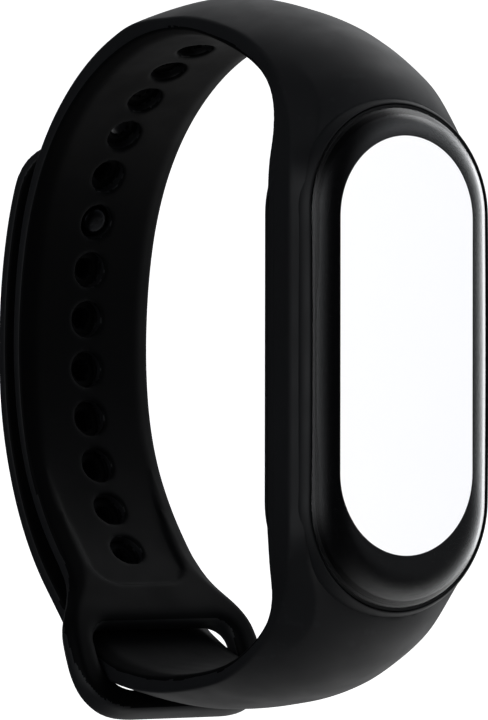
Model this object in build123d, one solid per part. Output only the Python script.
from build123d import *
import math
import os

os.makedirs("parts", exist_ok=True)

# ---------------------------------------------------------------- driving dimensions (mm)
# Row frame: X runs along the wrist, the screen faces -Y, +Z is up.
# The origin is the centre of the wrist opening.
SCREEN_Y = -32.0          # plane of the lit display
SCREEN_Z = 1.09           # the display sits a little above the capsule's middle

CAPSULE_L = 46.25         # capsule outline, along Z
CAPSULE_W = 19.85         # capsule outline, along X
SEAM_Y = -31.0            # where the glass rim meets the housing
GLASS_FRONT = -32.7
BACK_Y = -21.0            # flat of the capsule's back
BUMP_Y = -20.45           # top of the sensor bump
WALL = 1.1                # housing wall
SPLIT_Y = -24.0           # parting line between housing and back cover
DISPLAY_L, DISPLAY_W = 38.31, 15.01

STRAP_HALF = 7.65         # half width of both straps
FRAME_HALF = 11.05        # half width of the frame beside the capsule
FRAME_FRONT = -29.65      # front face of the frame beside the lip
LIP_FRONT = -31.05        # top of the lip around the glass
LIP_W = 0.80              # lip wall
FRAME_BACK = -23.8        # wrist side of the frame
POCKET_GAP = 0.15         # capsule to pocket, each side
HOLE_T = 2.5              # thickness of the hole strap
LAYER_GAP = 0.20          # between the hole strap and the tail lying on it
TAIL_T = 2.7              # thickness of the tail
SLOT_HALF = 8.5           # half width of the loop's slot
LOOP_HALF = 11.5          # half width of the loop

HOLE_R_WIDE = 1.75        # counterbore on the wrist side
HOLE_R_NARROW = 1.0
HOLE_R_STRETCHED = 1.45   # the hole the stud is in is stretched round it
HOLE_STEP = 1.1           # counterbore depth
STUD_HOLE = 5             # index of the hole in use
STUD_HEAD_R = 1.15
STUD_POST_R = 0.75

DY, DZ = SCREEN_Y, SCREEN_Z


def R(p):
    """display-centred (y, z) to the row frame"""
    return (p[0] + DY, p[1] + DZ)


# ---------------------------------------------------------------- small curve helpers
def dense(points, per=12):
    """centripetal Catmull-Rom through the points"""
    out = []
    n = len(points)
    ext = [(2 * points[0][0] - points[1][0], 2 * points[0][1] - points[1][1])] + list(points) + \
          [(2 * points[-1][0] - points[-2][0], 2 * points[-1][1] - points[-2][1])]
    for i in range(1, n):
        p0, p1, p2, p3 = ext[i - 1], ext[i], ext[i + 1], ext[i + 2]
        t0 = 0.0
        t1 = t0 + math.dist(p0, p1) ** 0.5
        t2 = t1 + math.dist(p1, p2) ** 0.5
        t3 = t2 + math.dist(p2, p3) ** 0.5
        for k in range(per):
            t = t1 + (t2 - t1) * k / per

            def lin(a, b, ta, tb):
                w = (t - ta) / (tb - ta)
                return (a[0] + (b[0] - a[0]) * w, a[1] + (b[1] - a[1]) * w)
            a1, a2, a3 = lin(p0, p1, t0, t1), lin(p1, p2, t1, t2), lin(p2, p3, t2, t3)
            b1, b2 = lin(a1, a2, t0, t2), lin(a2, a3, t1, t3)
            out.append(lin(b1, b2, t1, t2))
    out.append(points[-1])
    return out


def resample(pts, step):
    cum = [0.0]
    for a, b in zip(pts, pts[1:]):
        cum.append(cum[-1] + math.dist(a, b))
    n = max(2, round(cum[-1] / step))
    out, j = [], 0
    for k in range(n + 1):
        s = cum[-1] * k / n
        while j < len(cum) - 2 and cum[j + 1] < s:
            j += 1
        w = (s - cum[j]) / max(cum[j + 1] - cum[j], 1e-9)
        out.append((pts[j][0] + (pts[j + 1][0] - pts[j][0]) * w, pts[j][1] + (pts[j + 1][1] - pts[j][1]) * w))
    return out


def tangent(pts, i):
    a, b = pts[max(i - 1, 0)], pts[min(i + 1, len(pts) - 1)]
    d = math.dist(a, b)
    return ((b[0] - a[0]) / d, (b[1] - a[1]) / d)


def offset(pts, d):
    """to the outside of the band: the inner curve runs up the back, so outside is to the right of travel"""
    out = []
    for i, p in enumerate(pts):
        t = tangent(pts, i)
        dd = d(i / (len(pts) - 1)) if callable(d) else d
        out.append((p[0] + t[1] * dd, p[1] - t[0] * dd))
    return out


def nearest(pts, p):
    return min(range(len(pts)), key=lambda i: math.dist(pts[i], p))


def V(p):
    return Vector(0, p[0], p[1])


def spl(pts):
    return Spline(*[V(p) for p in pts])


# ---------------------------------------------------------------- profiles of the band (y, z)
# wrist face of the hole strap, from the loop's far end up the back to the top of the frame
END_BAR = R((37.6, -34.35))                      # centre of the loop's end bar
CROSS = R((41.6, -26.06))                        # centre of the crossbar's nose
_d = math.dist(CROSS, END_BAR)
LT = ((END_BAR[0] - CROSS[0]) / _d, (END_BAR[1] - CROSS[1]) / _d)      # along the loop, downwards
LN = (-LT[1], LT[0])                                                   # outwards
LOOP_T = 2.5
bar_in = (END_BAR[0] - LN[0] * LOOP_T / 2, END_BAR[1] - LN[1] * LOOP_T / 2)
bar_out = (END_BAR[0] + LN[0] * LOOP_T / 2, END_BAR[1] + LN[1] * LOOP_T / 2)
bar_tip = (END_BAR[0] + LT[0] * LOOP_T / 2, END_BAR[1] + LT[1] * LOOP_T / 2)

hole_centres = [R(p) for p in [
    (34.14, 28.96), (38.72, 27.20), (42.89, 24.64), (46.52, 21.36), (49.41, 17.42), (51.44, 12.96), (52.65, 8.18),
    (53.22, 3.27), (53.26, -1.66), (52.66, -6.55), (51.26, -11.24), (48.97, -15.59), (45.97, -19.50)]]

inner_pts = [bar_in] + [R(p) for p in [(37.6, -31.6), (38.9, -28.9), (40.6, -25.6), (42.45, -23.3), (44.25, -21.3)]] \
    + hole_centres[::-1] \
    + [R(p) for p in [(31.0, 29.60), (28.3, 29.82), (25.5, 29.72), (23.0, 29.40), (20.0, 28.85), (16.5, 28.00),
                      (13.2, 26.85), (10.6, 25.35), (8.9, 23.5), (8.2, 21.3)]]
inner = resample(dense(inner_pts), 0.5)
i_top = nearest(inner, R((34.14, 28.96)))
i_crown = nearest(inner, R((27.0, 29.8)))


def hole_thickness(w):
    a, b = i_top / (len(inner) - 1), i_crown / (len(inner) - 1)
    if w <= a - 0.04:
        return HOLE_T
    u = min(1.0, (w - (a - 0.04)) / (b - a + 0.04))
    return HOLE_T + (3.4 - HOLE_T) * (u * u * (3 - 2 * u))


outer_all = offset(inner, hole_thickness)
outer_back = outer_all[:i_crown + 1]
outer_front = [R(p) for p in [(23.2, 32.80), (18.5, 31.75), (14.0, 30.30), (10.2, 28.6), (7.2, 26.8), (5.0, 24.9),
                              (3.5, 23.0), (2.65, 21.0), (2.35, 19.0)]]
outer_hole = resample(dense(resample(outer_back, 3.0)[:-1] + outer_front), 0.5)

# wrist face of the stud strap, from the frame's bottom through the slot and up the back
stud_in_pts = [R(p) for p in [(8.2, -23.5), (8.9, -25.7), (10.6, -27.6), (13.2, -29.1), (16.5, -30.05), (20.0, -30.6),
                              (24.0, -30.9), (28.7, -31.1), (33.0, -30.95), (36.3, -30.4), (38.6, -29.45),
                              (40.7, -28.25), (42.8, -26.95)]]
i_a = nearest(inner, R((43.3, -22.4)))
layer = offset(inner, HOLE_T + LAYER_GAP)
stud_in = dense(stud_in_pts + resample(layer[i_a:], 2.0))
stud_in = resample(stud_in, 0.5)
# the stud strap runs the other way round the band, so its own outside is to the right of travel as well
stud_hole = hole_centres[STUD_HOLE]
i_stud_in = nearest(inner, stud_hole)
t_st = tangent(inner, i_stud_in)
n_st = (t_st[1], -t_st[0])
stud_base = (stud_hole[0] + n_st[0] * (HOLE_T + LAYER_GAP), stud_hole[1] + n_st[1] * (HOLE_T + LAYER_GAP))
i_stud = nearest(stud_in, stud_base)
i_hinge = i_stud - 23                                   # the flex line, 11.5 mm below the stud
i_tip = i_stud + 17                                     # the tail ends 8.5 mm beyond it
stud_in = stud_in[:i_tip + 1]
w_slot = nearest(stud_in, R((40.7, -28.25))) / (len(stud_in) - 1)
w_crown = nearest(stud_in, R((28.0, -31.1))) / (len(stud_in) - 1)


def stud_thickness(w):
    if w <= w_crown:
        return 3.25
    if w <= w_slot:
        u = (w - w_crown) / (w_slot - w_crown)
        return 3.25 + (2.35 - 3.25) * (u * u * (3 - 2 * u))
    u = min(1.0, (w - w_slot) / 0.12)
    return 2.35 + (TAIL_T - 2.35) * (u * u * (3 - 2 * u))


stud_out_all = offset(stud_in, stud_thickness)
i_c = nearest(stud_in, R((26.0, -31.0)))
outer_low = [R(p) for p in [(2.35, -21.2), (2.65, -23.2), (3.5, -25.2), (5.0, -27.1), (7.2, -29.0), (10.2, -30.8),
                            (14.5, -32.5), (19.5, -33.7)]]

# ---------------------------------------------------------------- strap: hole strap, loop, frame, stud strap
FULL = 15.0


def slab(edges, half):
    return extrude(make_face(edges), amount=half, dir=(1, 0, 0), both=True)


# hole strap with the loop
top_in_end, top_out_end = inner[-1], outer_hole[-1]
a_in = spl(resample(inner, 3.0))
a_out = spl(resample([bar_out] + outer_hole[4:], 3.0))
cap = ThreePointArc(V(bar_in), V(bar_tip), V(bar_out))
join = Line(V(top_in_end), V(top_out_end))
hole_strip = slab([a_in, join, a_out, cap], FULL)

# plan outline of the loop and its shoulders, in the loop's own plane
loop_plane = Plane(origin=(0, CROSS[0], CROSS[1]), x_dir=(1, 0, 0), z_dir=(0, LN[0], LN[1]))
up = loop_plane.y_dir
sgn = 1.0 if up.Z > 0 else -1.0          # local y points up the strap


def LP(x, u):
    """u runs down the loop from the crossbar's nose"""
    return (x, -u * sgn)


U_END = math.dist(CROSS, END_BAR) + LOOP_T / 2
right = [LP(STRAP_HALF, -9.0), LP(STRAP_HALF + 0.02, -7.0), LP(8.15, -4.6), LP(9.4, -2.2), LP(10.7, 0.0),
         LP(11.35, 2.2), LP(LOOP_HALF, 4.6), LP(11.15, 6.8), LP(10.0, 8.7), LP(7.9, 10.0), LP(5.0, U_END + 0.02)]
left = [(-x, y) for x, y in right]
outline = make_face([Spline(*right), Line(right[-1], left[-1]), Spline(*left[::-1]), Line(left[0], right[0])])
plan = extrude(loop_plane * outline, amount=6.0, both=True)
plan = plan + Box(2 * STRAP_HALF, 120, 120).moved(Location((0, 0, 60 + R((0, -20.0))[1])))
slot_top, slot_bottom = 0.25, math.dist(CROSS, END_BAR) - 0.85
slot_face = loop_plane * (Location((0, -sgn * (slot_top + slot_bottom) / 2)) *
                          RectangleRounded(2 * SLOT_HALF, slot_bottom - slot_top, 1.8))
slot_cut = extrude(slot_face, amount=5.0, both=True)

# frame plan outline (x, z), widest beside the capsule and running into the straps
frame_right = [(STRAP_HALF, 36.0), (STRAP_HALF, 31.8), (7.89, 29.5), (8.13, 27.5), (8.49, 25.5), (8.95, 23.5),
               (9.57, 20.7), (10.25, 18.5), (10.9, 15.8), (FRAME_HALF, 12.0), (FRAME_HALF, 0.0), (FRAME_HALF, -12.0),
               (10.95, -16.4), (10.5, -18.8), (9.95, -20.6), (9.45, -22.4), (9.1, -24.3), (8.94, -26.0),
               (8.87, -28.0), (8.8, -30.0), (8.7, -33.0), (8.7, -36.0)]
frame_left = [(-x, z) for x, z in frame_right]
fp = Plane(origin=(0, -36, 0), x_dir=(1, 0, 0), z_dir=(0, -1, 0))
frame_face = fp * make_face([Spline(*frame_right), Line(frame_right[-1], frame_left[-1]),
                             Spline(*frame_left[::-1]), Line(frame_left[0], frame_right[0])])
frame_plan = extrude(frame_face, amount=-19.0)           # y -36 to -17

hole_part = hole_strip & plan
hole_front = hole_strip & frame_plan
hole_part = hole_part - slot_cut

# stud strap
s_all_in = stud_in[:i_hinge + 1]
s_out = stud_out_all[i_c:i_hinge + 1]
b_in = spl(resample(s_all_in, 3.0))
b_out = spl(resample(dense(outer_low + resample(s_out, 3.0)[0:]), 3.0))
hinge_in, hinge_out = stud_in[i_hinge], stud_out_all[i_hinge]
stud_strip = slab([b_in, Line(V(hinge_in), V(hinge_out)), b_out, Line(V(outer_low[0]), V(stud_in[0]))], FULL)
# the stud strap is widest under the frame and tapers to the slot
y_s = [-40.0, -14.0, -7.0, 0.0, 6.0, 12.0, 40.0]
w_s = [8.80, 8.78, 8.60, 8.10, 7.72, STRAP_HALF, STRAP_HALF]
taper_face = make_face([Polyline(*[(w, y) for w, y in zip(w_s, y_s)]), Line((w_s[-1], y_s[-1]), (-w_s[-1], y_s[-1])),
                        Polyline(*[(-w, y) for w, y in zip(w_s[::-1], y_s[::-1])]), Line((-w_s[0], y_s[0]), (w_s[0], y_s[0]))])
stud_mask = extrude(Plane.XY * taper_face, amount=60, both=True)
stud_part = stud_strip & stud_mask
stud_front = stud_strip & frame_plan

# frame beside the capsule
mid_profile = [V((FRAME_FRONT, R((0, 19.0))[1])), V((FRAME_FRONT, R((0, -21.2))[1])), V((FRAME_BACK, R((0, -23.5))[1])),
               V((FRAME_BACK, R((0, 21.3))[1]))]
mid_block = extrude(make_face(Polyline(*mid_profile, close=True)), amount=FULL, dir=(1, 0, 0), both=True) & frame_plan


def pill(length, width, y0, y1, z=0.0):
    """a stadium plate standing in the XZ plane from y0 to y1"""
    pl = Plane(origin=(0, y1, z), x_dir=(1, 0, 0), z_dir=(0, -1, 0))
    return extrude(pl * SlotOverall(length, width, rotation=90), amount=y1 - y0)


lip = pill(CAPSULE_L + 2 * LIP_W, CAPSULE_W + 2 * LIP_W, LIP_FRONT, FRAME_FRONT + 3.2)
lip_edge = lip.edges().group_by(Axis.Y)[0]
lip = fillet(lip_edge, 0.3)

strap = hole_part + hole_front + stud_part + stud_front + mid_block + lip
pocket = pill(CAPSULE_L + 2 * POCKET_GAP, CAPSULE_W + 2 * POCKET_GAP, -36.0, -10.0)
# the pocket stops short of the straps' wrist faces: it only opens the frame
strap = strap - pocket

# stepped holes: wide on the wrist side, narrow through the rest
cut = None
for k, c in enumerate(hole_centres):
    i = nearest(inner, c)
    t = tangent(inner, i)
    n = (t[1], -t[0])
    pl = Plane(origin=(0, c[0], c[1]), x_dir=(1, 0, 0), z_dir=(0, n[0], n[1]))
    wide = extrude(pl.offset(-1.5) * Circle(HOLE_R_WIDE), amount=1.5 + HOLE_STEP)
    r = HOLE_R_STRETCHED if k == STUD_HOLE else HOLE_R_NARROW
    thick = HOLE_T if k > 1 else 3.2
    through = extrude(pl.offset(-1.5) * Circle(r), amount=1.5 + thick + LAYER_GAP * 0.5)
    cut = wide + through if cut is None else cut + wide + through
strap = strap - cut

# ---------------------------------------------------------------- tail beyond the flex line, with a rounded tip
axis_pt = hinge_in
tt = tangent(stud_in, i_hinge)
nn = (tt[1], -tt[0])
V_GAP = math.radians(36.0)
c_in = stud_in[i_hinge:]
c_out = stud_out_all[i_hinge:]
start_in = (hinge_in[0] + tt[0] * 0.08, hinge_in[1] + tt[1] * 0.08)
# the tail's end face leans back from the flex line, so that it can peel outwards
lean = (nn[0] * math.cos(V_GAP) + tt[0] * math.sin(V_GAP), nn[1] * math.cos(V_GAP) + tt[1] * math.sin(V_GAP))
c_mid_out = c_out[4:]
tip_in, tip_out = c_in[-1], c_out[-1]
tip_t = tangent(stud_in, len(stud_in) - 1)
k_round = 5                                               # the outer face curves down over the last few mm
out_pts = [(start_in[0] + lean[0] * TAIL_T / math.cos(V_GAP), start_in[1] + lean[1] * TAIL_T / math.cos(V_GAP))]
out_body = [p for p in c_out[6:-k_round]]
nose_mid = ((tip_in[0] * 0.62 + tip_out[0] * 0.38), (tip_in[1] * 0.62 + tip_out[1] * 0.38))
out_pts += resample(out_body, 3.0)
tail_edges = [spl(resample([start_in] + c_in[1:], 3.0)), Line(V(tip_in), V(nose_mid)),
              ThreePointArc(V(nose_mid), V((out_body[-1][0] * 0.45 + nose_mid[0] * 0.55 + nn[0] * 0.25,
                                            out_body[-1][1] * 0.45 + nose_mid[1] * 0.55 + 0.35)), V(out_pts[-1])),
              spl(out_pts), Line(V(out_pts[0]), V(start_in))]
tail = slab(tail_edges, FULL)
mid_t = tangent(stud_in, i_stud)
mid_n = (mid_t[1], -mid_t[0])
tip_plane = Plane(origin=(0, stud_base[0], stud_base[1]), x_dir=(1, 0, 0), z_dir=(0, mid_n[0], mid_n[1]))
t_up = 1.0 if tip_plane.y_dir.Z > 0 else -1.0
reach = 8.3
outline_t = make_face([
    Line((-STRAP_HALF, -t_up * 30), (STRAP_HALF, -t_up * 30)), Line((STRAP_HALF, -t_up * 30), (STRAP_HALF, t_up * 2.2)),
    Spline((STRAP_HALF, t_up * 2.2), (6.9, t_up * 5.2), (4.3, t_up * 7.6), (0, t_up * reach), (-4.3, t_up * 7.6),
           (-6.9, t_up * 5.2), (-STRAP_HALF, t_up * 2.2), tangents=[(0, t_up), (0, -t_up)]),
    Line((-STRAP_HALF, t_up * 2.2), (-STRAP_HALF, -t_up * 30))])
tail_plan = extrude(tip_plane * outline_t, amount=20.0, both=True)
tail = tail & tail_plan

# closure stud: a flange moulded into the tail, a post and a domed head
st_pl = tip_plane
flange = extrude(st_pl.offset(0.9) * Circle(2.3), amount=0.7)
post_len = LAYER_GAP + (HOLE_T - HOLE_STEP)
post = extrude(st_pl.offset(-post_len - 0.3) * Circle(STUD_POST_R), amount=post_len + 0.3 + 1.0)
head_pl = st_pl.offset(-post_len)
prof_pl = Plane(origin=head_pl.origin, x_dir=(1, 0, 0), z_dir=head_pl.y_dir)
# dome: a short cylinder with its wrist-side edge rounded
head = extrude(head_pl * Circle(STUD_HEAD_R), amount=-0.85)
head_edge = head.edges().sort_by(lambda e: (e.center() - head_pl.origin).dot(head_pl.z_dir))[0]
head = fillet(head_edge, 0.55)
stud = flange + post + head
stud_room = extrude(st_pl.offset(0.9) * Circle(2.3), amount=0.7) + \
    extrude(st_pl.offset(-0.5) * Circle(STUD_POST_R), amount=1.6)
tail = tail - stud_room

# ---------------------------------------------------------------- capsule shell
outer_body = pill(CAPSULE_L, CAPSULE_W, SEAM_Y + 0.15, BACK_Y)
outer_body = fillet(outer_body.edges().group_by(Axis.Y)[-1], 3.0)
inner_body = pill(CAPSULE_L - 2 * WALL, CAPSULE_W - 2 * WALL, SEAM_Y - 1.0, BACK_Y - 1.2)
inner_body = fillet(inner_body.edges().group_by(Axis.Y)[-1], 1.9)
shell = outer_body - inner_body
cut_front = Box(60, 40, 80).moved(Location((0, SPLIT_Y - 20, 0)))
cut_back = Box(60, 40, 80).moved(Location((0, SPLIT_Y + 20, 0)))
housing = shell & cut_front
back_cover = shell & cut_back
bump = pill(19.0, 14.0, BACK_Y - 0.6, BUMP_Y)
bump = chamfer(bump.edges().group_by(Axis.Y)[-1], 0.35)
back_cover = back_cover + bump
WIN_X, WIN_Z = 8.6, 10.6


def rect_plate(w, h, y0, y1, x=0.0, z=0.0, r=0.0):
    pl = Plane(origin=(x, y1, z), x_dir=(1, 0, 0), z_dir=(0, -1, 0))
    sk = RectangleRounded(w, h, r) if r > 0 else Rectangle(w, h)
    return extrude(pl * sk, amount=y1 - y0)


def disc(r, y0, y1, x=0.0, z=0.0):
    pl = Plane(origin=(x, y1, z), x_dir=(1, 0, 0), z_dir=(0, -1, 0))
    return extrude(pl * Circle(r), amount=y1 - y0)


window_cut = rect_plate(WIN_X, WIN_Z, -23.0, -20.0, r=2.6)
back_cover = back_cover - window_cut
CONTACT_X, CONTACT_Z, CONTACT_R = 3.0, -15.6, 1.4
contacts = disc(CONTACT_R, -22.5, BACK_Y + 0.08, -CONTACT_X, CONTACT_Z) + disc(CONTACT_R, -22.5, BACK_Y + 0.08, CONTACT_X, CONTACT_Z)
back_cover = back_cover - contacts
back_cover = back_cover - pill(19.0 - 4, 14.0 - 4, -23.0, BACK_Y - 1.15)
# locating rim of the back cover, inside the housing
rim = (pill(CAPSULE_L - 2 * WALL - 0.1, CAPSULE_W - 2 * WALL - 0.1, SPLIT_Y - 0.9, SPLIT_Y + 0.4)
       - pill(CAPSULE_L - 2 * WALL - 1.3, CAPSULE_W - 2 * WALL - 1.3, SPLIT_Y - 2.0, SPLIT_Y + 1.0))
back_cover = back_cover + rim

sensor_window = rect_plate(WIN_X, WIN_Z, -21.6, BUMP_Y, r=2.6)
sensor_window = fillet(sensor_window.edges().group_by(Axis.Y)[-1], 0.25)

# ---------------------------------------------------------------- display stack
glass = pill(CAPSULE_L - 0.1, CAPSULE_W - 0.1, GLASS_FRONT, SEAM_Y)
glass = fillet(glass.edges().group_by(Axis.Y)[0], 1.5)
glass = glass - pill(43.0, 16.7, SCREEN_Y, SEAM_Y + 1.0)
bezel_mask = pill(42.9, 16.6, SCREEN_Y, SCREEN_Y + 0.1) - pill(DISPLAY_L, DISPLAY_W, -34.0, -30.0, SCREEN_Z)
display_panel = pill(DISPLAY_L, DISPLAY_W, SCREEN_Y, SCREEN_Y + 0.85, SCREEN_Z)
gasket = pill(CAPSULE_L - 0.2, CAPSULE_W - 0.2, SEAM_Y, SEAM_Y + 0.15) - pill(44.0, 17.7, -32.0, -30.0)
display_flex = rect_plate(7.0, 4.2, -31.15, -31.0, z=-17.6) + rect_plate(7.0, 0.15, -31.15, -29.0, z=-19.775) + \
    rect_plate(7.0, 2.2, -29.15, -29.0, z=-18.75)

# ---------------------------------------------------------------- electronics
main_board = pill(37.0, 15.6, -29.95, -29.15, z=1.0)
soc = rect_plate(5.0, 5.0, -30.75, -29.95, x=-1.6, z=6.5)
flash = rect_plate(3.6, 3.0, -30.65, -29.95, x=-1.6, z=1.6)
can = rect_plate(9.0, 12.5, -30.95, -29.95, x=-1.6, z=4.6, r=0.6) - rect_plate(8.7, 12.2, -30.8, -29.0, x=-1.6, z=4.6, r=0.45)
motion_chip = rect_plate(2.5, 3.0, -30.75, -29.95, x=4.8, z=-4.0)
power_chip = rect_plate(2.6, 2.6, -30.55, -29.95, x=-3.6, z=-6.2)
crystals = rect_plate(2.0, 1.6, -30.45, -29.95, x=5.2, z=4.0) + rect_plate(2.0, 1.2, -30.45, -29.95, x=5.2, z=7.4)
battery_pad = rect_plate(12.0, 20.0, -29.15, -28.85, z=1.0)
battery = rect_plate(13.6, 22.0, -28.85, -25.05, z=1.0, r=1.2)
battery = fillet(battery.edges().filter_by(GeomType.LINE).group_by(Axis.Y)[-1], 0.6)
protection = rect_plate(11.0, 2.8, -28.5, -27.7, z=-12.2)
motor_z, motor_y = 16.6, -26.5
mp = Plane(origin=(-6.6, motor_y, motor_z), x_dir=(0, 1, 0), z_dir=(1, 0, 0))
motor_can = extrude(mp * Circle(1.9), amount=7.0)
motor_can = motor_can - extrude(mp.offset(5.9) * Circle(0.45), amount=2.0)
cradle = extrude(mp.offset(0.8) * Circle(2.35), amount=4.6) - extrude(mp * Circle(1.9), amount=8.0)
shaft = extrude(mp.offset(6.0) * Circle(0.40), amount=5.6)
weight_sk = Circle(1.95) - Location((0, 2.35)) * Rectangle(6, 3.0)
weight = extrude(mp.offset(7.6) * weight_sk, amount=3.4) - extrude(mp.offset(7.0) * Circle(0.40), amount=6.0)
sensor_board = rect_plate(11.0, 12.6, -23.85, -23.25, r=1.0)
leds = rect_plate(1.6, 1.6, -23.25, -22.65, z=1.3) + rect_plate(1.6, 1.6, -23.25, -22.65, z=-1.3)
photodiodes = rect_plate(2.6, 2.4, -23.25, -22.75, z=3.65) + rect_plate(2.6, 2.4, -23.25, -22.75, z=-3.65)
barrier = rect_plate(7.6, 9.8, -23.25, -21.6, r=1.6) - rect_plate(4.6, 4.2, -24, -21, z=0) \
    - rect_plate(4.6, 2.6, -24, -21, z=3.65) - rect_plate(4.6, 2.6, -24, -21, z=-3.65)
sensor_flex = rect_plate(4.6, 6.0, -24.0, -23.85, z=-7.4) + rect_plate(4.6, 0.15, -29.15, -23.85, z=-10.325)
pins = disc(0.6, -29.15, -22.5, -CONTACT_X, CONTACT_Z) + disc(0.6, -29.15, -22.5, CONTACT_X, CONTACT_Z)
magnets = disc(1.15, -24.0, -22.45, -6.0, -14.6) + disc(1.15, -24.0, -22.45, 6.0, -14.6)
antenna = (pill(43.9, 17.6, -29.6, -25.4) - pill(43.5, 17.2, -31.0, -24.0)) & Box(40, 40, 20).moved(Location((0, -27, 24.6)))

parts = {
    "strap": strap, "strap_tail": tail, "closure_stud": stud,
    "cover_glass": glass, "bezel_mask": bezel_mask, "display_panel": display_panel, "display_gasket": gasket,
    "display_flex": display_flex, "capsule_housing": housing, "back_cover": back_cover,
    "sensor_window": sensor_window, "sensor_board": sensor_board, "sensor_leds": leds,
    "photodiodes": photodiodes, "light_barrier": barrier, "sensor_flex": sensor_flex,
    "charge_contacts": contacts, "contact_pins": pins, "charge_magnets": magnets,
    "main_board": main_board, "processor_chip": soc, "memory_chip": flash, "motion_sensor": motion_chip,
    "power_chip": power_chip, "crystals": crystals, "shield_can": can,
    "battery_cell": battery, "battery_adhesive": battery_pad, "protection_board": protection,
    "motor_can": motor_can, "motor_cradle": cradle, "motor_shaft": shaft, "eccentric_weight": weight,
    "antenna_strip": antenna,
}
for name, shape in parts.items():
    export_step(shape, f"parts/{name}.step")
    print(name, round(shape.volume, 2), len(shape.solids()))

print("hinge axis point", [round(v, 3) for v in axis_pt], "normal", [round(v, 3) for v in nn])
print("stud", [round(v, 3) for v in stud_base], [round(v, 3) for v in mid_n])
bb = strap.bounding_box()
print("strap box", bb.min, bb.max)
